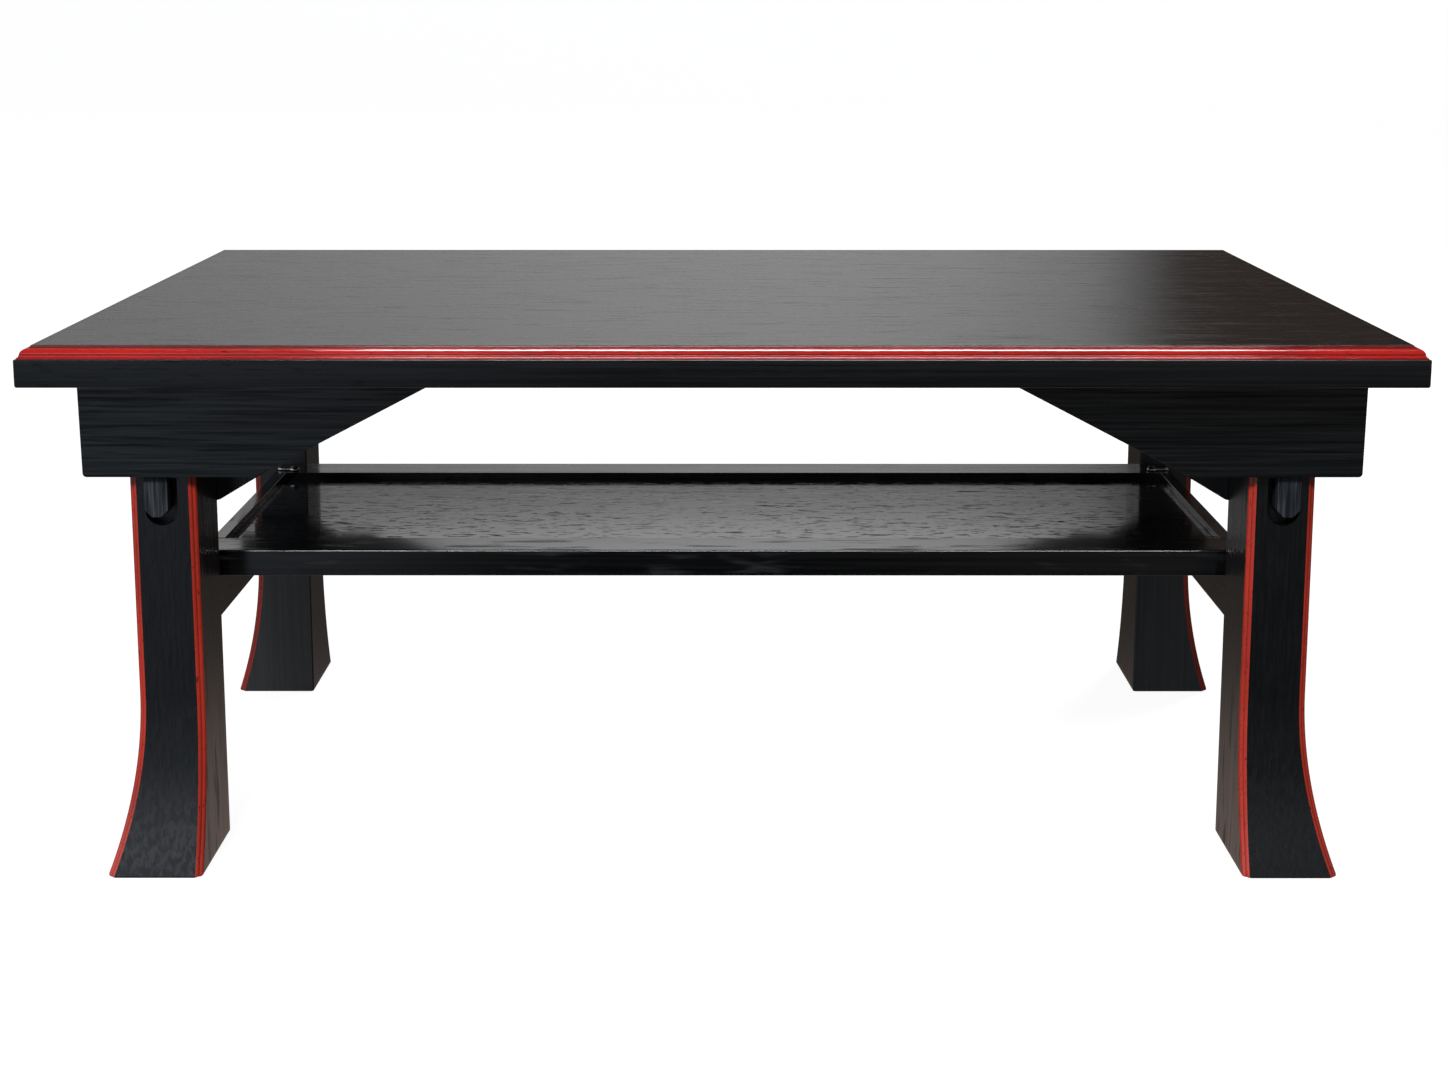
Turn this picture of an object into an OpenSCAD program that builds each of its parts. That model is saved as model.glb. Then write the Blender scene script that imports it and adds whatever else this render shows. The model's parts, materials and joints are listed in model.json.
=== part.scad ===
// Folding low desk in black lacquer with vermilion edges. Units are millimetres.
// X runs along the long side and the sitter is at -Y. The origin is on the floor
// under the middle of the top. Corner pieces are drawn at the front right (+X, -Y)
// and mirrored to the other corners.

/* [Top] */
// Length of the top, edging included
top_w = 750; // [700:5:900]
// Depth of the top, edging included
top_d = 562; // [540:2:640]
// Height of the top surface above the floor
desk_h = 306; // [300:1:330]
// Thickness of the top
top_t = 22; // [20:0.5:28]
// Width of the moulded edging round the top
edge_w = 11.3; // [10:0.1:14]
// Height of the black band below the red moulding
band_h = 15; // [13:0.1:16]
// Width of the ledge below the rounded moulding
ledge_w = 1.7; // [1:0.1:2.5]
// Width of the rounded moulding
ovolo_w = 5.3; // [4:0.1:6]
// Height of the risers below and above the rounded moulding
riser_h = 1.3; // [0.8:0.1:2]
// Depth of the tongue that holds the edging to the panel
edge_tongue = 4.5; // [3:0.5:6]

/* [Legs] */
// Width of a leg, seen from the front
leg_w = 37; // [34:0.2:44]
// Depth of a leg, from front to back
leg_d = 60.5; // [50:0.5:70]
// Distance from the end of the top to the outer face of a leg
end_overhang = 44.5; // [40:0.5:60]
// Distance from the front of the top to the front face of a leg
front_overhang = 59.2; // [50:0.2:70]
// How far a foot flares towards the end of the desk
foot_out = 17; // [8:0.5:20]
// How far a foot flares towards the front
foot_front = 26; // [16:0.5:30]
// Height at which the flare starts
flare_h = 100; // [80:1:120]
// Width of the chamfers that carry the red lines
chamfer = 4; // [2:0.1:5]
// Gap between the head of a leg and the underside of the top
head_gap = 9; // [8:0.5:14]

/* [Brackets] */
// Thickness of a bracket board
bracket_t = 5.5; // [4.5:0.1:7]
// Height of a bracket board
bracket_h = 57; // [50:1:62]
// Length of a bracket along the underside of the top
bracket_top_l = 205.5; // [150:0.5:215]
// Length of a bracket along its lower edge
bracket_low_l = 96; // [80:0.5:120]
// Distance from the end of the top to a bracket
bracket_in = 20.3; // [15:0.1:25]
// Gap between a bracket and the leg behind it
bracket_gap = 3.5; // [3.2:0.1:5]

/* [Inner cheeks] */
// Thickness of a cheek board behind a leg
cheek_t = 12; // [8:0.5:13]
// Height of a cheek board
cheek_h = 83; // [70:1:90]
// Length of a cheek along the underside of the top
cheek_l = 88; // [70:1:92]
// Slope of the lower edge, rise over run
cheek_slope = 0.6; // [0.4:0.05:0.8]

/* [Pivots] */
// Depth of the pivot axis below the underside of the top
pivot_drop = 40; // [38:0.5:44]
// Distance from the outer face of a leg to the pivot axis
pivot_in = 15.4; // [13:0.1:18]
// Radius of a pivot pin
pin_r = 3; // [2.5:0.1:4]
// Radial play of a leg on its pin
pin_play = 0.06; // [0.02:0.01:0.1]

/* [Lock bolts] */
// Width of a lock bolt
bolt_w = 13.2; // [12:0.1:15]
// How far a bolt stands proud of the leg
bolt_proud = 3.1; // [2:0.1:3.1]
// Travel of a bolt from free to locked
bolt_travel = 8; // [6:0.5:10]
// Depth of the lower end of a bolt below the underside of the top
bolt_low = 81; // [76:1:84]
// Gap from the upper end of a free bolt to the underside of the top
bolt_high = 4; // [3.5:0.1:5]
// Width of the slot below the bolt guide
slot_w = 18.3; // [17:0.1:20]
// Depth of the slot in the front of a leg
slot_d = 12; // [10:0.5:15]
// Gap from the lower end of a bolt to the bottom of the slot
slot_below = 5; // [3:0.5:8]

/* [Stretchers] */
// Width of a side stretcher
stretcher_w = 20; // [16:0.5:22]
// Height of a side stretcher
stretcher_h = 30; // [20:0.5:34]
// Distance from the inner face of a leg to the inner face of the stretcher
stretcher_in = 8; // [7.5:0.5:12]
// Length of the tenons on a stretcher
tenon_l = 12; // [8:1:20]

/* [Tray] */
// Height of the underside of the tray above the floor
tray_z = 153; // [140:0.5:155]
// Height of the tray frame
tray_h = 15.5; // [12:0.5:16]
// Width of the front and back rails of the tray
rail_w = 36; // [24:0.5:44]
// Width of the side rims of the tray
rim_w = 8; // [7:0.5:12]
// Length of the tray that lies over each stretcher
tray_over = 6; // [4:0.5:10]
// Thickness of the tray panel
panel_t = 6; // [4:0.5:7]
// Depth of the panel below the top of the tray frame
panel_low = 4.5; // [3:0.5:6]
// Depth of the groove that holds the tray panel
groove_d = 3; // [2:0.5:5]

/* [Hooks] */
// Diameter of the hook wire
wire_d = 1.6; // [1.2:0.1:2.2]
// Length of a hook from its eye to its bend
hook_l = 9; // [8:0.5:11]
// Radius of the bend at the end of a hook
bend_r = 2; // [1.4:0.1:2.4]
// Radius of the shank of a hook screw
screw_r = 1.2; // [1:0.1:1.6]
// Depth of a hook screw in the rail
screw_in = 10; // [6:0.5:12]
// Distance from the front edge of the back rail to a hook screw
hook_back = 8; // [6:0.5:16]
// Distance from the end of the tray to a hook screw
hook_in = 12.5; // [12:0.5:20]

/* [Hidden] */
$fn = 48;

black = [0.09, 0.095, 0.11];
ink = [0.16, 0.17, 0.19];
red = [0.72, 0.16, 0.11];
bare_wood = [0.34, 0.33, 0.32];
steel = [0.74, 0.74, 0.72];

// Clearance between fixed pieces that fit in each other
fit = 0.05;
// Clearance between pieces that slide or pass each other
play = 0.3;
// Length by which a cut runs past the face it starts from
past = 1;

under_z = desk_h - top_t;
leg_x1 = top_w / 2 - end_overhang;
leg_x0 = leg_x1 - leg_w;
leg_front = top_d / 2 - front_overhang;
leg_back = leg_front - leg_d;
head_z = under_z - head_gap;
pivot_x = leg_x1 - pivot_in;
pivot_z = under_z - pivot_drop;
flare_rings = 12;
inner_chamfer = 1;

bracket_x1 = top_w / 2 - bracket_in;
bracket_back = leg_front + bracket_gap;
bracket_low_z = under_z - bracket_h;
bracket_lean = 0.9;
bracket_skin = 2;
pin_in_bracket = bracket_t - bracket_skin;

cheek_front = leg_back - play;
cheek_back = cheek_front - cheek_t;
cheek_x1 = leg_x1 - inner_chamfer;
cheek_x0 = cheek_x1 - cheek_l;
cheek_low_z = under_z - cheek_h;
cheek_skin = 1;

// The bolt lies against the outer wall of the slot. The pin passes through a square mortise
// in it, which runs down from the pin by the travel
bolt_z0 = under_z - bolt_low;
bolt_z1 = under_z - bolt_high;
bolt_back = leg_front - slot_d + play;
bolt_corner = 4;
guide_w = bolt_w + 2 * play;
guide_below = 2;
guide_z = bracket_low_z - guide_below;
slot_x1 = pivot_x + guide_w / 2;
slot_z0 = bolt_z0 - slot_below;
mortise_room = 0.6;
mortise_h = bolt_travel - bolt_high + mortise_room;

stretcher_x0 = leg_x0 + stretcher_in;
tray_gap = 0.2;
stretcher_z1 = tray_z - tray_gap;
tenon_wall = 4;

tray_x1 = stretcher_x0 + tray_over;
tray_side_gap = 1.7;
tray_y1 = cheek_back - tray_side_gap;
tray_z1 = tray_z + tray_h;
panel_z1 = tray_z1 - panel_low;

hook_x = tray_x1 - hook_in;
hook_y = tray_y1 - rail_w + hook_back;
eye_room = 0.6;
eye_r = screw_r + wire_d / 2 + eye_room;
hook_gap = 0.2;
hook_z = tray_z1 + wire_d / 2 + hook_gap;
bend_angle = 150;
screw_head_r = eye_r + play;
screw_head_taper = 0.8;
screw_head_h = 1.4;

// Offset of a face that starts at flare_h and reaches reach at the floor, on an arc
function flare_r(reach) = (reach * reach + flare_h * flare_h) / (2 * reach);
function flare(reach, z) = z >= flare_h ? 0
    : flare_r(reach) - sqrt(pow(flare_r(reach), 2) - pow(flare_h - z, 2));

// Outline of a leg at height z, anticlockwise from above, starting at the inner front
function leg_ring(z) =
    let (x1 = leg_x1 + flare(foot_out, z), y0 = -leg_front - flare(foot_front, z), y1 = -leg_back)
    [
        [leg_x0, y0 + chamfer, z], [leg_x0 + chamfer, y0, z],
        [x1 - chamfer, y0, z], [x1, y0 + chamfer, z],
        [x1, y1 - chamfer, z], [x1 - chamfer, y1, z],
        [leg_x0 + inner_chamfer, y1, z], [leg_x0, y1 - inner_chamfer, z]
    ];

// Section of the edging: the first value runs inwards from the edge, the second is height
ovolo_h = top_t - band_h - 2 * riser_h;
ovolo_u = ledge_w + ovolo_w;
ovolo_z = under_z + band_h + riser_h;
top_ledge_w = 1;
tongue_h = 7;
tongue_z = under_z + 5;
edge_round = 1.2;
edging_section = concat(
    [[edge_round, under_z], [0, under_z + edge_round], [0, under_z + band_h]],
    [[ledge_w, under_z + band_h]],
    [for (a = [180 : -15 : 90]) [ovolo_u + ovolo_w * cos(a), ovolo_z + ovolo_h * sin(a)]],
    [[ovolo_u + top_ledge_w, desk_h], [edge_w, desk_h]],
    [[edge_w, tongue_z + tongue_h + fit], [edge_w - edge_tongue - fit, tongue_z + tongue_h + fit]],
    [[edge_w - edge_tongue - fit, tongue_z - fit], [edge_w, tongue_z - fit], [edge_w, under_z]]
);

// Moves a front right piece to the named corner
module at_corner(end, side) {
    mirror([end == "left" ? 1 : 0, 0, 0])
        mirror([0, side == "back" ? 1 : 0, 0])
            children();
}

// Moves a front right piece to all four corners
module at_corners() {
    for (end = ["left", "right"], side = ["front", "back"])
        at_corner(end, side) children();
}

// A cylinder along Y from y0 to y1
module rod_y(r, x, z, y0, y1) {
    translate([x, y1, z]) rotate([90, 0, 0]) cylinder(h = y1 - y0, r = r);
}

// A board of the outline given in X and Z, from y0 to y1
module board_xz(outline, y0, y1) {
    translate([0, y1, 0]) rotate([90, 0, 0]) linear_extrude(y1 - y0) polygon(outline);
}

// A box given by its lowest and highest corners
module box(low, high) {
    translate(low) cube(high - low);
}

module top_panel() {
    w = top_w / 2 - edge_w;
    d = top_d / 2 - edge_w;
    color(black) difference() {
        union() {
            box([-w, -d, under_z], [w, d, desk_h]);
            box([-w - edge_tongue, -d - edge_tongue, tongue_z],
                [w + edge_tongue, d + edge_tongue, tongue_z + tongue_h]);
        }
        at_corners() bolt_mortise();
    }
}

// Pocket in the underside that takes the upper end of a raised bolt
module bolt_mortise() {
    box([pivot_x - guide_w / 2, -leg_front - bolt_proud - play, under_z - past],
        [pivot_x + guide_w / 2, -bolt_back + play, under_z + mortise_h]);
}

// One strip along the front of a top that is length by depth
module edging(length, depth) {
    x = length / 2;
    y = depth / 2;
    color(red) intersection() {
        translate([-x, -y, 0]) rotate([90, 0, 90]) linear_extrude(length) polygon(edging_section);
        linear_extrude(desk_h + past)
            polygon([[-x, -y], [x, -y], [x - edge_w, edge_w - y], [edge_w - x, edge_w - y]]);
    }
}

module edging_front() {
    edging(top_w, top_d);
}

module edging_back() {
    rotate([0, 0, 180]) edging(top_w, top_d);
}

module edging_left() {
    rotate([0, 0, -90]) edging(top_d, top_w);
}

module edging_right() {
    rotate([0, 0, 90]) edging(top_d, top_w);
}

module bracket() {
    outline = [
        [bracket_x1 - bracket_top_l, under_z], [bracket_x1, under_z],
        [bracket_x1 - bracket_lean, bracket_low_z], [bracket_x1 - bracket_low_l, bracket_low_z]
    ];
    color(ink) difference() {
        board_xz(outline, -bracket_back - bracket_t, -bracket_back);
        rod_y(pin_r + fit, pivot_x, pivot_z, -bracket_back - pin_in_bracket, -bracket_back + past);
    }
}

module cheek() {
    run = cheek_x1 - leg_w - cheek_x0;
    outline = [
        [cheek_x0, under_z], [cheek_x0, cheek_low_z + run * cheek_slope],
        [cheek_x0 + run, cheek_low_z], [cheek_x1, cheek_low_z], [cheek_x1, under_z]
    ];
    color(black) difference() {
        board_xz(outline, -cheek_front, -cheek_back);
        rod_y(pin_r + fit, pivot_x, pivot_z, -cheek_front - past, -cheek_back - cheek_skin);
    }
}

module pivot_pins() {
    color(steel) at_corners()
        rod_y(pin_r, pivot_x, pivot_z, -bracket_back - pin_in_bracket + play,
            -cheek_back - cheek_skin - play);
}

module leg_solid() {
    heights = concat([for (i = [0 : flare_rings]) flare_h * i / flare_rings], [head_z]);
    rings = [for (z = heights) leg_ring(z)];
    sides = len(rings[0]);
    last = len(rings) - 1;
    polyhedron(
        points = [for (ring = rings, p = ring) p],
        faces = concat(
            [[for (j = [0 : sides - 1]) j]],
            [for (i = [0 : last - 1], j = [0 : sides - 1])
                let (a = i * sides + j, b = i * sides + (j + 1) % sides)
                [a, a + sides, b + sides, b]],
            [[for (j = [sides - 1 : -1 : 0]) last * sides + j]]
        )
    );
}

// Slot in the front of a leg: wide and round below, as wide as the bolt above
module bolt_slot() {
    y0 = -leg_front - past;
    y1 = -leg_front + slot_d;
    rod_y(slot_w / 2, slot_x1 - slot_w / 2, slot_z0 + slot_w / 2, y0, y1);
    box([slot_x1 - slot_w, y0, slot_z0 + slot_w / 2], [slot_x1, y1, guide_z]);
    box([slot_x1 - guide_w, y0, guide_z - past], [slot_x1, y1, head_z + past]);
}

module leg() {
    color(ink) difference() {
        leg_solid();
        bolt_slot();
        rod_y(pin_r + pin_play, pivot_x, pivot_z, -leg_front - past, -leg_back + past);
        tenon(fit, past);
    }
}

// Tenon of a stretcher, or with extra size its mortise in the leg
module tenon(extra, over) {
    box([stretcher_x0 + tenon_wall - extra, -leg_back - tenon_l - extra,
         stretcher_z1 - stretcher_h + tenon_wall - extra],
        [stretcher_x0 + stretcher_w - tenon_wall + extra, -leg_back + over,
         stretcher_z1 - tenon_wall + extra]);
}

module stretcher() {
    color(black) {
        box([stretcher_x0, -leg_back, stretcher_z1 - stretcher_h],
            [stretcher_x0 + stretcher_w, leg_back, stretcher_z1]);
        tenon(0, past);
        mirror([0, 1, 0]) tenon(0, past);
    }
}

module bolt() {
    x0 = pivot_x - bolt_w / 2;
    x1 = pivot_x + bolt_w / 2;
    outline = [
        [x0, bolt_z0 + bolt_corner], [x0 + bolt_corner, bolt_z0], [x1 - bolt_corner, bolt_z0],
        [x1, bolt_z0 + bolt_corner], [x1, bolt_z1], [x0, bolt_z1]
    ];
    y0 = -leg_front - bolt_proud;
    y1 = -bolt_back;
    color(bare_wood) difference() {
        board_xz(outline, y0, y1);
        box([pivot_x - pin_r - play, y0 - past, pivot_z - bolt_travel - pin_r - play],
            [pivot_x + pin_r + play, y1 + past, pivot_z + pin_r + play]);
    }
}

// The front rail of the tray, grooved for the panel
module tray_rail() {
    color(ink) difference() {
        box([-tray_x1, -tray_y1, tray_z], [tray_x1, -tray_y1 + rail_w, tray_z1]);
        tray_board(fit);
    }
}

module tray_rail_front() {
    tray_rail();
}

module tray_rail_back() {
    difference() {
        rotate([0, 0, 180]) tray_rail();
        for (side = [-1, 1])
            translate([side * hook_x, hook_y, tray_z1 - screw_in])
                cylinder(h = screw_in + past, r = screw_r + fit);
    }
}

module tray_rim() {
    color(ink) difference() {
        box([tray_x1 - rim_w, -tray_y1 + rail_w, tray_z], [tray_x1, tray_y1 - rail_w, tray_z1]);
        tray_board(fit);
    }
}

// The board in the grooves of the tray frame, or with extra size its grooves
module tray_board(extra) {
    x = tray_x1 - rim_w + groove_d + extra;
    y = tray_y1 - rail_w + groove_d + extra;
    box([-x, -y, panel_z1 - panel_t - extra], [x, y, panel_z1 + extra]);
}

module tray_panel() {
    color(ink) tray_board(0);
}

// A wire hook lying on the back rail, with its bend towards the end of the tray
module hook() {
    r = wire_d / 2;
    color(steel) translate([hook_x, hook_y, hook_z]) {
        rotate_extrude() translate([eye_r, 0]) circle(r = r, $fn = 24);
        translate([eye_r, 0, 0]) rotate([0, 90, 0]) cylinder(h = hook_l - eye_r, r = r, $fn = 24);
        translate([hook_l, bend_r, 0]) rotate([0, 0, -90])
            rotate_extrude(angle = bend_angle) translate([bend_r, 0]) circle(r = r, $fn = 24);
    }
}

module hook_screws() {
    color(steel) for (side = [-1, 1])
        translate([side * hook_x, hook_y, tray_z1 - screw_in + play]) {
            shank_h = screw_in - play + wire_d + 2 * hook_gap + fit;
            cylinder(h = shank_h, r = screw_r);
            translate([0, 0, shank_h - fit])
                cylinder(h = screw_head_h, r1 = screw_head_r, r2 = screw_head_r - screw_head_taper);
        }
}

top_panel();
edging_front();
edging_back();
edging_left();
edging_right();
at_corner("left", "front") bracket();  // bracket_front_left
at_corner("right", "front") bracket();  // bracket_front_right
at_corner("left", "back") bracket();  // bracket_back_left
at_corner("right", "back") bracket();  // bracket_back_right
at_corner("left", "front") cheek();  // cheek_front_left
at_corner("right", "front") cheek();  // cheek_front_right
at_corner("left", "back") cheek();  // cheek_back_left
at_corner("right", "back") cheek();  // cheek_back_right
pivot_pins();
at_corner("left", "front") leg();  // leg_front_left
at_corner("right", "front") leg();  // leg_front_right
at_corner("left", "back") leg();  // leg_back_left
at_corner("right", "back") leg();  // leg_back_right
at_corner("left", "front") stretcher();  // stretcher_left
stretcher();  // stretcher_right
at_corner("left", "front") bolt();  // bolt_front_left
at_corner("right", "front") bolt();  // bolt_front_right
at_corner("left", "back") bolt();  // bolt_back_left
at_corner("right", "back") bolt();  // bolt_back_right
tray_rail_front();
tray_rail_back();
at_corner("left", "front") tray_rim();  // tray_rim_left
tray_rim();  // tray_rim_right
tray_panel();
at_corner("left", "front") hook();  // hook_left
hook();  // hook_right
hook_screws();
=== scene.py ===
import bmesh
import bpy
import json
import math
from mathutils import Matrix, Vector

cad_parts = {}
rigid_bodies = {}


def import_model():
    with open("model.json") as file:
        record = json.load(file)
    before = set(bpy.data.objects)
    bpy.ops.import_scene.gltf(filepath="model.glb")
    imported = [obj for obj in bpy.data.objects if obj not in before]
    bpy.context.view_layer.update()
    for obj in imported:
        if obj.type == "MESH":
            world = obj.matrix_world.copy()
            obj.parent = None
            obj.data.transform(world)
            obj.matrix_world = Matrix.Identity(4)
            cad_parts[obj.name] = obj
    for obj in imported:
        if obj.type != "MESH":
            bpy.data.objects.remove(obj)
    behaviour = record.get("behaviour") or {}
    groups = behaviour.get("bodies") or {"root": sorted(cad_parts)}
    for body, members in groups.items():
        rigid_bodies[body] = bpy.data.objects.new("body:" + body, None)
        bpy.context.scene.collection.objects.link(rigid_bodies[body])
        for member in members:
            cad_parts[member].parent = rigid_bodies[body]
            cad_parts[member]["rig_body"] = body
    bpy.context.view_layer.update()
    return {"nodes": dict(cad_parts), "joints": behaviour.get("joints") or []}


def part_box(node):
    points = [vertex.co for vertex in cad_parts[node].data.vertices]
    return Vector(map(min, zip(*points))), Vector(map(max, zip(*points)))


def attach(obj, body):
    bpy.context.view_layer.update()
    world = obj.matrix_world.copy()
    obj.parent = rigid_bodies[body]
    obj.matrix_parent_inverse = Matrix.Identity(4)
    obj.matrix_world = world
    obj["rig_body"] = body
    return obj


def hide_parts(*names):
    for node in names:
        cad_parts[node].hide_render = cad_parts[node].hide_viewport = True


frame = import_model()

# The studio: a camera at the photograph's angle, over white paper turned up all round. Two
# lamps only light the pieces, and two are only mirrored, in the moulding and in the tray's
# front rail. The lacquer mirrors a grey room with a backdrop that ends on the right.
camera_place = Vector((0.0023, -1.654, 0.484))
camera_pitch = 11.672
camera_turn = 0.057
focal_px = 2615.7
image_width_px = 1448


class Nodes:
    """A node tree under construction. Each method adds a node and returns its output."""

    def __init__(self, tree):
        self.tree = tree

    def node(self, kind, **values):
        made = self.tree.nodes.new(kind)
        for key, value in values.items():
            setattr(made, key, value)
        return made

    def link(self, start, end):
        self.tree.links.new(start, end)

    def feed(self, socket, value):
        """Links an output to a socket, or sets a number or a colour on it."""
        if isinstance(value, (int, float)):
            socket.default_value = value
        elif isinstance(value, tuple):
            socket.default_value = (*value, 1)
        else:
            self.link(value, socket)

    def math(self, operation, first, second):
        """One sum on two outputs or numbers."""
        made = self.node("ShaderNodeMath", operation=operation)
        self.feed(made.inputs[0], first)
        self.feed(made.inputs[1], second)
        return made.outputs[0]

    def range(self, source, low, high, from_low=0.0, from_high=1.0):
        """Maps source to the range low to high, clamped at both ends."""
        made = self.node("ShaderNodeMapRange")
        made.inputs["From Min"].default_value = from_low
        made.inputs["From Max"].default_value = from_high
        made.inputs["To Min"].default_value = low
        made.inputs["To Max"].default_value = high
        self.link(source, made.inputs["Value"])
        return made.outputs["Result"]

    def share(self, source, low, high):
        """How far source has come from low to high, between 0 and 1."""
        return self.range(source, 0.0, 1.0, low, high)

    def ramp(self, source, stops, low=0.0, high=1.0):
        """Colours, or greys, at the given values of source between low and high."""
        made = self.node("ShaderNodeValToRGB")
        elements = made.color_ramp.elements
        while len(elements) < len(stops):
            elements.new(0.5)
        for element, (value, colour) in zip(elements, stops):
            element.position = (value - low) / (high - low)
            shade = colour if isinstance(colour, tuple) else (colour,) * 3
            element.color = (*shade, 1)
        self.link(self.share(source, low, high), made.inputs["Fac"])
        return made.outputs["Color"]

    def scaled(self, colour, factor):
        """A colour times a number."""
        made = self.node("ShaderNodeVectorMath", operation="SCALE")
        self.link(colour, made.inputs[0])
        made.inputs["Scale"].default_value = factor
        return made.outputs[0]

    def mix(self, share, first, second, blend="MIX"):
        """A colour between two outputs or colours."""
        made = self.node("ShaderNodeMix", data_type="RGBA", blend_type=blend)
        self.feed(made.inputs[0], share)
        self.feed(made.inputs[6], first)
        self.feed(made.inputs[7], second)
        return made.outputs[2]


def lamp(name, place, aim, width, depth, power, mirrored):
    """A rectangular softbox at place, facing the point aim, which is only mirrored or only lights."""
    light = bpy.data.lights.new(name, "AREA")
    light.shape = "RECTANGLE"
    light.size = width
    light.size_y = depth
    light.energy = power
    holder = bpy.data.objects.new(name, light)
    bpy.context.scene.collection.objects.link(holder)
    holder.location = place
    holder.rotation_euler = (Vector(aim) - Vector(place)).to_track_quat("-Z", "Y").to_euler()
    holder.visible_glossy = mirrored
    holder.visible_diffuse = not mirrored
    return holder


camera_data = bpy.data.cameras.new("camera")
camera_data.sensor_width = 36
camera_data.lens = focal_px / image_width_px * camera_data.sensor_width
camera_data.clip_start = 0.05
camera_data.clip_end = 60
camera = bpy.data.objects.new("camera", camera_data)
camera.location = camera_place
camera.rotation_euler = (math.radians(90 - camera_pitch), 0, math.radians(camera_turn))
bpy.context.scene.collection.objects.link(camera)
bpy.context.scene.camera = camera
bpy.context.scene.view_settings.view_transform = "Standard"

overhead = lamp("overhead", place=(0.12, 0.3, 2.6), aim=(0.12, 0.1, 0.3),
                width=1.3, depth=0.9, power=125, mirrored=True)
rail_light = lamp("rail_light", place=(0, -2.35, 1.15), aim=(0, -0.15, 0.17),
                  width=1.5, depth=0.4, power=130, mirrored=True)
lamp("key", place=(-0.5, -2.5, 1.8), aim=(0, -0.2, 0.2),
     width=0.6, depth=0.5, power=85, mirrored=False)
lamp("fill", place=(1.6, 2.4, 1.7), aim=(0, 0.1, 0.2),
     width=0.8, depth=0.6, power=75, mirrored=False)

paper_radius = 12
paper_rise = 7
paper_bend = 2
paper_grey = 0.15
paper_glow = 0.94
paper_mesh = bpy.data.meshes.new("paper")
paper_form = bmesh.new()
bmesh.ops.create_circle(paper_form, cap_ends=True, segments=96, radius=paper_radius)
rim = [e for e in paper_form.edges if e.is_boundary]
raised = bmesh.ops.extrude_edge_only(paper_form, edges=rim)
bmesh.ops.translate(paper_form, vec=(0, 0, paper_rise),
                    verts=[v for v in raised["geom"] if isinstance(v, bmesh.types.BMVert)])
bmesh.ops.bevel(paper_form, geom=rim, offset=paper_bend, offset_type="OFFSET", segments=8,
                profile=0.5, affect="EDGES", material=-1)
paper_form.to_mesh(paper_mesh)
paper_form.free()
paper = bpy.data.objects.new("paper", paper_mesh)
bpy.context.scene.collection.objects.link(paper)
paper.visible_glossy = False
paper.visible_diffuse = False
paper_mesh.polygons.foreach_set("use_smooth", [True] * len(paper_mesh.polygons))
paper_paint = bpy.data.materials.new("paper_white")
paper_paint.use_nodes = True
paper_shader = paper_paint.node_tree.nodes["Principled BSDF"]
paper_shader.inputs["Base Color"].default_value = (paper_grey, paper_grey, paper_grey, 1)
paper_shader.inputs["Roughness"].default_value = 0.9
paper_shader.inputs["Specular IOR Level"].default_value = 0.1
paper_shader.inputs["Emission Color"].default_value = (1, 1, 1, 1)
paper_shader.inputs["Emission Strength"].default_value = paper_glow
paper_mesh.materials.append(paper_paint)

world = bpy.data.worlds.new("studio")
bpy.context.scene.world = world
world.use_nodes = True
room = Nodes(world.node_tree)
split = room.node("ShaderNodeSeparateXYZ")
room.link(room.node("ShaderNodeTexCoord").outputs["Generated"], split.inputs[0])
rightward, backward, upward = split.outputs
distance = room.math("MAXIMUM", room.math("ABSOLUTE", backward, 0), 0.01)
aside = room.math("DIVIDE", rightward, distance)
aside_ends = (-0.3, 0.3)
ceiling = (0.13, 0.13, 0.14)
back_power = 2.5
low_front_power = 0.55
backdrop = room.ramp(aside, [
    (-0.24, 0.31), (-0.13, 0.37), (-0.04, 0.44), (0.03, 0.46), (0.09, 0.42), (0.14, 0.32),
    (0.157, 0.17), (0.172, (0.040, 0.030, 0.026)),
], *aside_ends)
back_light = room.ramp(upward, [
    (0.13, 0.4), (0.165, 0.26), (0.183, 0.19), (0.19, 0.29), (0.2, 0.8), (0.207, 1.0), (0.3, 0.8),
], 0.0, 0.5)
back_floor = room.ramp(upward, [
    (-0.3, (0.38, 0.30, 0.27)), (-0.28, (0.32, 0.25, 0.225)),
    (-0.24, (0.05, 0.045, 0.04)), (-0.02, (0.05, 0.045, 0.04)),
], -0.4, 0.1)
behind = room.mix(1.0, backdrop, room.scaled(back_light, back_power), "MULTIPLY")
behind = room.mix(room.share(upward, -0.02, 0.02), back_floor, behind)
front_low = room.ramp(aside, [
    (-0.22, (0.40, 0.46, 0.54)), (-0.16, (0.44, 0.50, 0.58)), (-0.11, 0.18), (-0.06, 0.02),
    (0.06, 0.02), (0.12, 0.2), (0.2, 0.16),
], *aside_ends)
front_high = room.ramp(aside, [
    (-0.2, (1.5, 1.6, 1.75)), (0.0, (0.9, 0.95, 1.05)), (0.16, (0.4, 0.42, 0.46)),
], *aside_ends)
before = room.mix(room.share(upward, -0.23, -0.18), room.scaled(front_low, low_front_power), front_low)
before = room.mix(room.share(upward, 0.14, 0.5), before, front_high)
before = room.mix(room.share(upward, 0.58, 0.72), before, ceiling)
around = room.mix(room.share(backward, -0.08, 0.08), before, behind)
whole = room.mix(room.share(upward, 0.6, 0.85), around, ceiling)
room.link(whole, world.node_tree.nodes["Background"].inputs["Color"])

# The top panel: one wide board under black lacquer so thin that the grain shows through
# as short shallow dents along the length. Its tongue runs in a groove of the edging.
mm = 0.001
dent_roughness = 0.16


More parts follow.
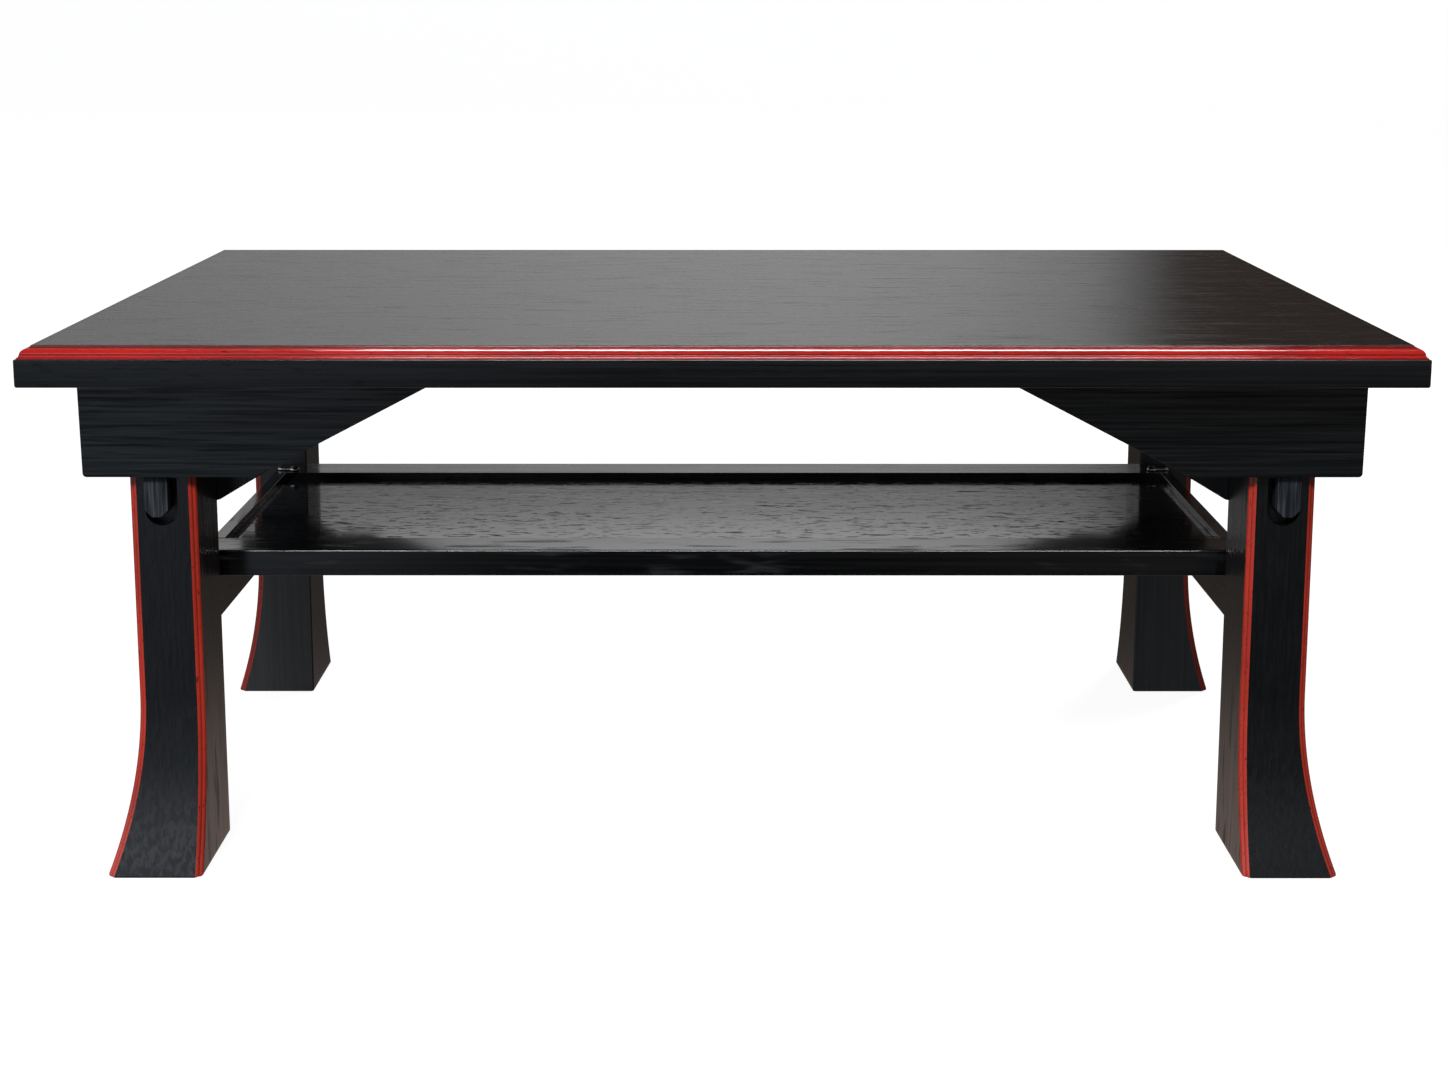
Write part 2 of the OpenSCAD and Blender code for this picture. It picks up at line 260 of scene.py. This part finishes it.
class Finish(Nodes):
    """A material under construction."""

    def __init__(self, name):
        self.material = bpy.data.materials.new(name)
        self.material.use_nodes = True
        super().__init__(self.material.node_tree)
        self.main = self.tree.nodes["Principled BSDF"]
        self.object_place = self.node("ShaderNodeTexCoord").outputs["Object"]

    def noise(self, stretch, detail=3.0, wave=0.0):
        """Noise on Object coordinates, with stretch features to the metre along X, Y and Z."""
        mapping = self.node("ShaderNodeMapping")
        mapping.inputs["Scale"].default_value = stretch
        self.link(self.object_place, mapping.inputs["Vector"])
        made = self.node("ShaderNodeTexNoise")
        made.inputs["Scale"].default_value = 1.0
        made.inputs["Detail"].default_value = detail
        made.inputs["Roughness"].default_value = 0.55
        made.inputs["Distortion"].default_value = wave
        self.link(mapping.outputs["Vector"], made.inputs["Vector"])
        return made.outputs["Fac"]

    def grain(self, axis, along, across, detail=3.0, wave=0.0):
        """Noise that is drawn out along one axis."""
        stretch = [across] * 3
        stretch[axis] = along
        return self.noise(stretch, detail, wave=wave)

    def bump(self, height, depth, under=None):
        """Relief of a depth in metres, laid over the relief under it."""
        made = self.node("ShaderNodeBump")
        made.inputs["Distance"].default_value = depth
        self.link(height, made.inputs["Height"])
        if under is not None:
            self.link(under, made.inputs["Normal"])
        return made.outputs["Normal"]

    def finish(self, colour, roughness, normal, **values):
        """The finished material, with other values set on the shader's own sockets."""
        self.link(colour, self.main.inputs["Base Color"])
        self.link(roughness, self.main.inputs["Roughness"])
        self.link(normal, self.main.inputs["Normal"])
        for key, value in values.items():
            self.main.inputs[key.replace("_", " ")].default_value = value
        return self.material


def black_lacquer(name, axis, gloss=0.2, tint=(0.0018, 0.0020, 0.0024), contrast=0.5,
                  line=(7, 520), ripple=0.006, dent=(60, 420), depth=0.02, threshold=0.38,
                  crisp=0.06, shine=(0.3, 0.44, 0.54)):
    """Black lacquer on wood that runs along axis, with fine lines and short dents.

    line and dent say how many there are to the metre along and across the wood, and ripple
    and depth how deep they are in mm. threshold and crisp say how much the dents cover and
    how soft they end. shine is the gloss in the dents, in the lines and between them.
    """
    coat = Finish(name)
    lines = coat.grain(axis, *line, wave=0.4)
    dents = coat.grain(axis, *dent, 2.0, wave=0.3)
    dark = tuple(c * (1 - contrast) for c in tint)
    light = tuple(c * (1 + 2 * contrast) for c in tint)
    colour = coat.ramp(lines, [(0.34, dark), (0.5, tint), (0.7, light)])
    pits = coat.range(dents, 1.0, 0.0, threshold - crisp, threshold + crisp)
    rubbed = coat.range(lines, gloss * 0.8, gloss * 1.25, 0.3, 0.7)
    rough = coat.math("ADD", coat.math("MULTIPLY", pits, dent_roughness), rubbed)
    normal = coat.bump(pits, -depth * mm, coat.bump(lines, ripple * mm))
    between = coat.range(lines, shine[1], shine[2], 0.36, 0.62)
    shining = coat.math("SUBTRACT", between, coat.math("MULTIPLY", pits, shine[1] - shine[0]))
    coat.main.inputs["Specular IOR Level"].default_value = shine[1]
    coat.link(shining, coat.main.inputs["Specular IOR Level"])
    return coat.finish(colour, rough, normal)


def evened(piece, smooth):
    """Smooth shading across edges up to an angle, weighted so that wide faces stay flat."""
    piece.data.polygons.foreach_set("use_smooth", [True] * len(piece.data.polygons))
    piece.data.set_sharp_from_angle(angle=math.radians(smooth))
    even = piece.modifiers.new("even", "WEIGHTED_NORMAL")
    even.keep_sharp = True


def finished(form, name, materials, body, nodes, smooth=35):
    """Turns a bmesh into a piece that rides on body and stands for the CAD nodes."""
    mesh = bpy.data.meshes.new(name)
    form.to_mesh(mesh)
    form.free()
    for material in materials:
        mesh.materials.append(material)
    piece = bpy.data.objects.new(name, mesh)
    bpy.context.scene.collection.objects.link(piece)
    evened(piece, smooth)
    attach(piece, body)
    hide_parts(*nodes)
    return piece


def painted(node, material):
    """Gives a CAD node its finish and leaves its shape."""
    piece = frame["nodes"][node]
    piece.data.materials.clear()
    piece.data.materials.append(material)


lacquer_top = black_lacquer("lacquer_top", 0, gloss=0.19, tint=(0.0050, 0.0042, 0.0039),
                            line=(6, 230), dent=(30, 260), depth=0.006, ripple=0.010,
                            shine=(0.36, 0.45, 0.56))
painted("top_panel", lacquer_top)

# The edging: four mitred strips of hardwood, planed to a black band below, a rounded
# moulding between small beads in vermilion, and a narrow black rim level with the top.
# A darker red is painted as shade into the creases, onto the lower part of the ovolo and onto the top
# riser, and the lacquer runs unevenly along the steps.
top_low, top_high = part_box("edging_front")
edging_width = 11.3 * mm
band = 15 * mm
band_round = 1.3 * mm
band_ease = 0.35 * mm
lower_bead = 1.0 * mm
lower_bead_in = 2.2 * mm
lower_bead_up = 0.2 * mm
upper_bead = 0.45 * mm
upper_bead_in = 2.7 * mm
upper_bead_up = 1.7 * mm
ovolo_start = 2.6 * mm
ovolo_width = 4.4 * mm
ovolo_low = 2.3 * mm
ovolo_rise = 3.3 * mm
fillet_bead = 0.5 * mm
fillet_step = 0.15 * mm
flat_start = 8 * mm
flat_round = 0.3 * mm
edging_smooth = 50
hair = 0.01 * mm


def arc(centre, radii, start, end, steps=6):
    """Points on an elliptical arc in the section plane, with angles in degrees."""
    turns = [math.radians(start + (end - start) * i / steps) for i in range(steps + 1)]
    return [(centre[0] + radii[0] * math.cos(t), centre[1] + radii[1] * math.sin(t)) for t in turns]


def round_arc(inward, height, radius, start, end, steps=6):
    """Points on a circular arc in the section plane."""
    return arc((inward, height), (radius, radius), start, end, steps)


def edging_outline():
    """The section from the bottom edge to the top surface, as inward and upward distances."""
    low_z = top_low.z + band
    fillet_in = ovolo_start + ovolo_width
    fillet_z = low_z + ovolo_low + ovolo_rise
    points = round_arc(band_round, top_low.z + band_round, band_round, 270, 180)
    points += round_arc(band_ease, low_z - band_ease, band_ease, 180, 90, 2)
    red_from = len(points) - 1
    points += round_arc(lower_bead_in, low_z + lower_bead_up, lower_bead, 180, 90)
    points += round_arc(upper_bead_in, low_z + upper_bead_up, upper_bead, 190, 90, 3)
    points += arc((fillet_in, low_z + ovolo_low), (ovolo_width, ovolo_rise), 180, 90, 10)
    points += round_arc(fillet_in + fillet_bead, fillet_z + fillet_step, fillet_bead, 180, 90, 4)
    red_to = len(points)
    points += round_arc(flat_start, top_high.z - flat_round, flat_round, 180, 90, 3)
    points += [(edging_width, top_high.z)]
    return points, red_from, red_to


def edging_strip(node, length, depth, turn, materials):
    """One mitred strip along the front of a top of length by depth, turned about Z."""
    outline, red_from, red_to = edging_outline()
    red_low = outline[red_from][1] - hair
    red_high = outline[red_to][1]
    outline = outline + [(edging_width, top_low.z)]
    form = bmesh.new()
    ring = [form.verts.new((-length / 2, u - depth / 2, z)) for u, z in outline]
    face = form.faces.new(ring)
    pushed = bmesh.ops.extrude_face_region(form, geom=[face])
    moved = [v for v in pushed["geom"] if isinstance(v, bmesh.types.BMVert)]
    bmesh.ops.translate(form, verts=moved, vec=(length, 0, 0))
    for side in (-1, 1):
        corner = Vector((side * length / 2, -depth / 2, 0))
        bmesh.ops.bisect_plane(form, geom=form.verts[:] + form.edges[:] + form.faces[:],
                               plane_co=corner, plane_no=(side, 1, 0), clear_outer=True)
        bmesh.ops.holes_fill(form, edges=[e for e in form.edges if e.is_boundary])
    bmesh.ops.recalc_face_normals(form, faces=form.faces)
    for face in form.faces:
        middle = face.calc_center_median()
        if middle.y + depth / 2 > flat_start:
            face.material_index = 2
        elif red_low < middle.z < red_high and abs(face.normal.x) < 0.5:
            face.material_index = 1
    bmesh.ops.rotate(form, verts=form.verts, cent=(0, 0, 0), matrix=Matrix.Rotation(turn, 3, "Z"))
    return finished(form, node + "_moulded", materials, "top", [node], edging_smooth)


speck_red = (0.05, 0.004, 0.004)
# Painted shade: a darker red laid into the creases of the moulding, given as a share at each rise in mm
# above the band.
painted_shade_red = (0.06, 0.003, 0.004)
painted_shade_stops = (
    (0.0, 0.9), (0.9, 0.6), (1.4, 0.0), (1.8, 0.0),
    (2.4, 0.75), (3.4, 0.1), (5.3, 0.0), (5.6, 0.8),
)
painted_shade_top = 7


def vermilion(name, axis, red, height=None):
    """Thick vermilion lacquer with dark specks, with shade painted as a darker red into the steps above
    height.

    The list of stops gives the share of the painted shade at each rise in mm.
    """
    coat = Finish(name)
    clouds = coat.noise([14, 14, 14])
    runs = coat.grain(axis, 120, 700, 2.0)
    specks = coat.grain(axis, 260, 800, 2.0)
    deep = tuple(0.75 * c for c in red)
    bright = tuple(1.2 * c for c in red)
    hue = coat.ramp(clouds, [(0.3, deep), (0.5, red), (0.7, bright)])
    colour = coat.mix(coat.range(specks, 0.0, 0.8, 0.64, 0.70), hue, speck_red)
    if height is not None:
        # Painted shade: the red darkens in the creases by height above the band.
        split = coat.node("ShaderNodeSeparateXYZ")
        coat.link(coat.object_place, split.inputs[0])
        rise = coat.math("SUBTRACT", split.outputs["Z"], height)
        stops = [(up * mm, dark) for up, dark in painted_shade_stops]
        colour = coat.mix(coat.ramp(rise, stops, 0.0, painted_shade_top * mm), colour, painted_shade_red)
    return coat.finish(colour, coat.range(runs, 0.07, 0.2, 0.3, 0.7), coat.bump(runs, 0.05 * mm),
                       Specular_IOR_Level=0.4)


def mirrored_in(light, pieces):
    """Lets a mirrored lamp show in some pieces only."""
    shown = bpy.data.collections.new(light.name + "_mirrors")
    for piece in pieces:
        shown.objects.link(piece)
    light.light_linking.receiver_collection = shown


width = 2 * top_high.x
depth = -2 * top_low.y
lacquer_along = black_lacquer("lacquer_band_long", 0, gloss=0.26, contrast=0.3, depth=0.006)
lacquer_across = black_lacquer("lacquer_band_short", 1, gloss=0.26, contrast=0.3, depth=0.006)
lacquer_flat = black_lacquer("lacquer_flat", 0, gloss=0.19, tint=(0.0050, 0.0042, 0.0039), depth=0.006)
# A dark tint keeps the overhead lamp out of the flat rim when it is seen from above.
flat_shader = lacquer_flat.node_tree.nodes["Principled BSDF"]
flat_shader.inputs["Specular Tint"].default_value = (0.1, 0.1, 0.1, 1)
red_edge = (0.37, 0.010, 0.006)
red_along = vermilion("vermilion_long", 0, red_edge, top_low.z + band)
red_across = vermilion("vermilion_short", 1, red_edge, top_low.z + band)
long_finish = [lacquer_along, red_along, lacquer_flat]
short_finish = [lacquer_across, red_across, lacquer_flat]
mouldings = [
    edging_strip("edging_front", width, depth, 0, long_finish),
    edging_strip("edging_back", width, depth, math.pi, long_finish),
    edging_strip("edging_left", depth, width, -math.pi / 2, short_finish),
    edging_strip("edging_right", depth, width, math.pi / 2, short_finish),
]
mirrored_in(overhead, mouldings)

# The brackets and cheeks: thin boards glued under the top, one in front of each leg head
# and one behind it. Their lower corners are rounded, and the grain of the brackets runs
# along the desk.
ends = ("left", "right")
quarters = [(side, end) for side in ("front", "back") for end in ends]
hard_edge = math.radians(28)
board_ease = 0.45 * mm
bracket_round = 2.2 * mm
cheek_round = 1.2 * mm


def softened(node, ease, material, corner=0.0, name="_lacquered"):
    """A copy of a CAD node with its edges eased, and its lowest edges along Y rounded."""
    source = frame["nodes"][node]
    form = bmesh.new()
    form.from_mesh(source.data)
    bmesh.ops.remove_doubles(form, verts=form.verts, dist=hair)
    bmesh.ops.dissolve_limit(form, angle_limit=math.radians(1), verts=form.verts, edges=form.edges)
    if corner:
        floor_z = min(v.co.z for v in form.verts) + hair
        low = [e for e in form.edges if max(v.co.z for v in e.verts) < floor_z
               and abs(e.verts[0].co.x - e.verts[1].co.x) < hair]
        bmesh.ops.bevel(form, geom=low, offset=corner, offset_type="OFFSET", segments=6,
                        profile=0.5, affect="EDGES", material=-1, clamp_overlap=True)
    sharp = [e for e in form.edges if len(e.link_faces) == 2 and e.calc_face_angle() > hard_edge]
    bmesh.ops.bevel(form, geom=sharp, offset=ease, offset_type="OFFSET", segments=3,
                    profile=0.5, affect="EDGES", material=-1, clamp_overlap=True)
    return finished(form, node + name, [material], source["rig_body"], [node])


lacquer_board = black_lacquer("lacquer_board", 0, gloss=0.24, tint=(0.0016, 0.0022, 0.0026),
                              line=(9, 420), dent=(18, 460), depth=0.05, threshold=0.45,
                              ripple=0.08, shine=(0.24, 0.36, 0.72))
lacquer_dull = black_lacquer("lacquer_dull", 2, gloss=0.26, tint=(0.0060, 0.0050, 0.0045), contrast=0.1,
                             dent=(20, 120), depth=0.001, ripple=0.001, shine=(0.49, 0.49, 0.51))
for side, end in quarters:
    softened(f"bracket_{side}_{end}", board_ease, lacquer_board, corner=bracket_round)
    softened(f"cheek_{side}_{end}", board_ease, lacquer_dull, corner=cheek_round)

# The legs: square posts that flare outwards at the foot. The three outward corners carry a
# double bead in vermilion; the fourth, inner corner is plain. The head is slotted for a bolt.
leg_low, leg_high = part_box("leg_front_right")
leg_inner = leg_low.x
foot_flare_x = 17 * mm
foot_flare_y = 26 * mm
leg_outer = leg_high.x - foot_flare_x
leg_face = leg_low.y + foot_flare_y
leg_rear = leg_high.y
flare_start = 100 * mm
flare_steps = 20
foot_round = 1.8 * mm
bead_width = 4.0 * mm
bead_swell = 0.45 * mm
bead_steps = 5
inner_edge = 0.9 * mm
inner_reach = (2 * mm, 3 * mm)
widest_bead = 1.6 * mm
leg_smooth = 18


def flare(reach, height):
    """How far a face has moved outwards at a height, on an arc that ends at reach."""
    if height >= flare_start:
        return 0.0
    radius = (reach ** 2 + flare_start ** 2) / (2 * reach)
    return radius - math.sqrt(radius ** 2 - (flare_start - height) ** 2)


def sole_inset(height):
    """How far the rounded edge of the sole is drawn in at a height."""
    if height >= foot_round:
        return 0.0
    return foot_round - math.sqrt(foot_round ** 2 - (foot_round - height) ** 2)


def double_bead(start, end):
    """Two shallow beads side by side on a chamfer from start to end, seen from above."""
    run = Vector(end) - Vector(start)
    out = Vector((run.y, -run.x)).normalized()
    points = []
    for i in range(2 * bead_steps + 1):
        swell = bead_swell * abs(math.sin(math.pi * i / bead_steps))
        points.append(Vector(start) + run * i / (2 * bead_steps) + out * swell)
    return points


def leg_section():
    """Outline of the front right leg from above, anticlockwise."""
    b = bead_width
    corners = (
        ((leg_inner, leg_face + b), (leg_inner + b, leg_face)),
        ((leg_outer - b, leg_face), (leg_outer, leg_face + b)),
        ((leg_outer, leg_rear - b), (leg_outer - b, leg_rear)),
    )
    points = [p for start, end in corners for p in double_bead(start, end)]
    inner = [Vector((leg_inner + inner_edge, leg_rear)), Vector((leg_inner, leg_rear - inner_edge))]
    return points + inner


def leg_form():
    """The flared post of the front right leg, with the edge of its sole rounded."""
    form = bmesh.new()
    middle = Vector(((leg_inner + leg_outer) / 2, (leg_face + leg_rear) / 2))
    heights = [leg_high.z] + [flare_start * i / flare_steps for i in range(flare_steps, 0, -1)]
    heights += [foot_round * share for share in (1.0, 0.6, 0.3, 0.1, 0.0)]
    face = form.faces.new([form.verts.new((p.x, p.y, leg_high.z)) for p in leg_section()])
    face.normal_update()
    for upper, lower in zip(heights, heights[1:]):
        pushed = bmesh.ops.extrude_face_region(form, geom=[face], use_keep_orig=True)
        if upper < leg_high.z:
            bmesh.ops.delete(form, geom=[face], context="FACES_ONLY")
        face = next(f for f in pushed["geom"] if isinstance(f, bmesh.types.BMFace))
        out_x = flare(foot_flare_x, lower) - flare(foot_flare_x, upper)
        out_y = flare(foot_flare_y, lower) - flare(foot_flare_y, upper)
        inset = sole_inset(lower) - sole_inset(upper)
        for v in face.verts:
            v.co.z = lower
            v.co.x += (out_x - inset) if v.co.x > middle.x else inset
            v.co.y -= (out_y - inset) if v.co.y < middle.y else inset
    bmesh.ops.recalc_face_normals(form, faces=form.faces)
    paint_leg(form)
    return form


def paint_leg(form):
    """Red on the narrow faces of the beads, the duller finish on the inner side, and a lighter black as
    painted light on the face toward the other pair of legs and on the plain inner corner.
    """
    for face in form.faces:
        level = [e for e in face.edges if abs(e.verts[0].co.z - e.verts[1].co.z) < hair]
        narrow = max((e.calc_length() for e in level), default=widest_bead) < widest_bead
        upright = abs(face.normal.z) < 0.999
        middle = face.calc_center_median()
        plain = middle.x < leg_inner + inner_reach[0] and middle.y > leg_rear - inner_reach[1]
        if narrow and upright and not plain:
            face.material_index = 1
        elif face.normal.x < -0.6:
            face.material_index = 2
        # Painted light: the faces toward the other pair of legs and the plain inner corner take a
        # lighter black.
        elif face.normal.y > 0.6 or plain:
            face.material_index = 3


def carved(piece, cutter_form):
    """Cuts a closed form out of a piece with an exact boolean, and applies it."""
    piece.modifiers.clear()
    mesh = bpy.data.meshes.new("cutter")
    cutter_form.to_mesh(mesh)
    cutter_form.free()
    cutter = bpy.data.objects.new("cutter", mesh)
    bpy.context.scene.collection.objects.link(cutter)
    cut = piece.modifiers.new("cut", "BOOLEAN")
    cut.operation = "DIFFERENCE"
    cut.solver = "EXACT"
    cut.object = cutter
    bpy.context.view_layer.update()
    evaluated = piece.evaluated_get(bpy.context.evaluated_depsgraph_get())
    result = bpy.data.meshes.new_from_object(evaluated)
    piece.modifiers.clear()
    old = piece.data
    piece.data = result
    bpy.data.meshes.remove(old)
    bpy.data.objects.remove(cutter)
    bpy.data.meshes.remove(mesh)


bolt_low, bolt_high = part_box("bolt_front_right")
pivot_x = (bolt_low.x + bolt_high.x) / 2
fold = next(joint for joint in frame["joints"] if joint["name"] == "fold_right")
pivot_z = fold["pos_m"][2]
bore_radius = 3.06 * mm
bolt_play = 0.3 * mm
slot_width = 18.3 * mm
slot_depth = 12 * mm
slot_below_bolt = 5 * mm
slot_right = bolt_high.x + bolt_play
slot_bottom = bolt_low.z - slot_below_bolt
guide_below_bracket = 2 * mm
guide_left = bolt_low.x - bolt_play
guide_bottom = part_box("bracket_front_right")[0].z - guide_below_bracket
past = 1 * mm
quarter_turn = Matrix.Rotation(math.pi / 2, 3, "X")


def slot_cutter():
    """The round-bottomed slot below the bolt guide, as a closed form."""
    form = bmesh.new()
    radius = slot_width / 2
    centre = (slot_right - radius, leg_face, slot_bottom + radius)
    made = bmesh.ops.create_circle(form, cap_ends=True, cap_tris=False, segments=64, radius=radius)
    bmesh.ops.rotate(form, verts=made["verts"], cent=(0, 0, 0), matrix=quarter_turn)
    bmesh.ops.translate(form, verts=made["verts"], vec=centre)
    for v in form.verts:
        if v.co.z > centre[2]:
            v.co.z = max(v.co.z, guide_bottom)
            v.co.x = slot_right if v.co.x > centre[0] else slot_right - slot_width
    bmesh.ops.remove_doubles(form, verts=form.verts, dist=hair)
    bmesh.ops.translate(form, verts=form.verts, vec=(0, -past, 0))
    pushed = bmesh.ops.extrude_face_region(form, geom=form.faces[:], use_keep_orig=True)
    moved = [v for v in pushed["geom"] if isinstance(v, bmesh.types.BMVert)]
    bmesh.ops.translate(form, verts=moved, vec=(0, slot_depth + past, 0))
    bmesh.ops.recalc_face_normals(form, faces=form.faces)
    return form


def block_cutter(low, high):
    """A plain box between two corners."""
    form = bmesh.new()
    bmesh.ops.create_cube(form, size=1)
    size = Vector(high) - Vector(low)
    bmesh.ops.scale(form, verts=form.verts, vec=size)
    bmesh.ops.translate(form, verts=form.verts, vec=Vector(low) + size / 2)
    return form


def rod_cutter(radius, low_y, high_y):
    """A round bar along Y through the pivot."""
    form = bmesh.new()
    bmesh.ops.create_cone(form, cap_ends=True, segments=32, radius1=radius, radius2=radius,
                          depth=high_y - low_y)
    bmesh.ops.rotate(form, verts=form.verts, cent=(0, 0, 0), matrix=quarter_turn)
    bmesh.ops.translate(form, verts=form.verts, vec=(pivot_x, (low_y + high_y) / 2, pivot_z))
    return form


def to_corner(piece, end, side):
    """Mirrors a front right piece to its corner, with its faces turned right again."""
    form = bmesh.new()
    form.from_mesh(piece.data)
    scale = (-1 if end == "left" else 1, -1 if side == "back" else 1, 1)
    bmesh.ops.scale(form, verts=form.verts, vec=scale)
    if scale[0] != scale[1]:
        bmesh.ops.reverse_faces(form, faces=form.faces)
    form.to_mesh(piece.data)
    form.free()


lacquer_leg = black_lacquer("lacquer_leg", 2, gloss=0.22, contrast=0.25, line=(30, 600), dent=(110, 380),
                            depth=0.03, threshold=0.5, crisp=0.1, ripple=0.016, shine=(0.45, 0.46, 0.53))
# A grey-black much lighter than the legs' lacquer, as painted light on the faces toward the other pair
# of legs and on the plain inner corner.
lacquer_painted_light = black_lacquer("lacquer_painted_light", 2, gloss=0.34, tint=(0.036, 0.035, 0.034), contrast=0.12,
                             depth=0.003, ripple=0.002, shine=(0.44, 0.45, 0.5))
red_upright = vermilion("vermilion_upright", 2, (0.34, 0.024, 0.012))
leg_finish = [lacquer_leg, red_upright, lacquer_dull, lacquer_painted_light]
for side, end in quarters:
    node = f"leg_{side}_{end}"
    leg = finished(leg_form(), node + "_beaded", leg_finish, "frame_" + end, [node], smooth=leg_smooth)
    carved(leg, slot_cutter())
    carved(leg, block_cutter((guide_left, leg_face - past, guide_bottom - past),
                             (slot_right, leg_face + slot_depth, leg_high.z + past)))
    carved(leg, rod_cutter(bore_radius, leg_face - past, leg_rear + past))
    to_corner(leg, end, side)
    evened(leg, leg_smooth)

# The stretchers: plain bars tenoned into a front and a back leg. They carry the tray.
# Their wood runs from front to back under a dull finish.
bar_ease = 0.6 * mm
lacquer_bar = black_lacquer("lacquer_bar", 1, gloss=0.32, tint=(0.0060, 0.0050, 0.0045), contrast=0.2,
                            depth=0.004)
for end in ends:
    softened(f"stretcher_{end}", bar_ease, lacquer_bar)

# The lock bolts: tongues of bare dark wood in the leg slots, with rough open grain and
# worn corners, greyed where fingers have pushed them up and down.
bolt_ease = 0.7 * mm
bare = Finish("bolt_wood")
streaks = bare.grain(2, 26, 900, 4.0)
scuffs = bare.noise([260, 260, 120])
bolt_grey = bare.ramp(streaks, [(0.38, (0.006, 0.007, 0.008)), (0.5, (0.017, 0.020, 0.024)),
                                (0.6, (0.036, 0.040, 0.046))])
grain_relief = bare.bump(streaks, 0.4 * mm, bare.bump(scuffs, 0.25 * mm))
bolt_wood = bare.finish(bolt_grey, bare.range(scuffs, 0.6, 0.9), grain_relief, Specular_IOR_Level=0.25)
for side, end in quarters:
    softened(f"bolt_{side}_{end}", bolt_ease, bolt_wood, name="_worn")

# The tray: two wide rails and two narrow rims round a panel in their grooves. The panel
# keeps its open pores under a high gloss; the rails are rubbed smooth.
front_rail_ease = 0.8 * mm
back_rail_ease = 0.5 * mm
rim_ease = 0.4 * mm
lacquer_rail = black_lacquer("lacquer_rail", 0, gloss=0.13, contrast=0.3, dent=(20, 120), depth=0.0)
lacquer_rim = black_lacquer("lacquer_rim", 1, gloss=0.13, contrast=0.3, dent=(20, 120), depth=0.0)
lacquer_tray = black_lacquer("lacquer_tray", 0, gloss=0.08, line=(20, 260), dent=(110, 400), depth=0.015,
                             threshold=0.41, crisp=0.02, ripple=0.006, shine=(0.0, 0.45, 0.52))
front_rail = softened("tray_rail_front", front_rail_ease, lacquer_rail)
mirrored_in(rail_light, [front_rail])
softened("tray_rail_back", back_rail_ease, lacquer_rail)
for end in ends:
    softened(f"tray_rim_{end}", rim_ease, lacquer_rim)
painted("tray_panel", lacquer_tray)

# The hooks: bent steel wire with an eye at one end, each under the head of a small browned
# screw at a back corner of the tray. The pivot pins are of the same bright steel.
wire = Finish("steel_wire")
scratches = wire.noise([400, 400, 400])
steel_grey = wire.ramp(scratches, [(0.3, (0.55, 0.54, 0.52)), (0.7, (0.88, 0.87, 0.85))])
steel = wire.finish(steel_grey, wire.range(scratches, 0.22, 0.45),
                    wire.bump(scratches, 0.02 * mm), Metallic=1.0)
for node in ("hook_left", "hook_right", "pivot_pins"):
    painted(node, steel)
browned = Finish("browned_steel")
rust = browned.noise([500, 500, 500])
brown = browned.ramp(rust, [(0.35, (0.035, 0.030, 0.027)), (0.65, (0.10, 0.088, 0.078))])
screw_steel = browned.finish(brown, browned.range(rust, 0.35, 0.6),
                             browned.bump(rust, 0.02 * mm), Metallic=0.8)
painted("hook_screws", screw_steel)
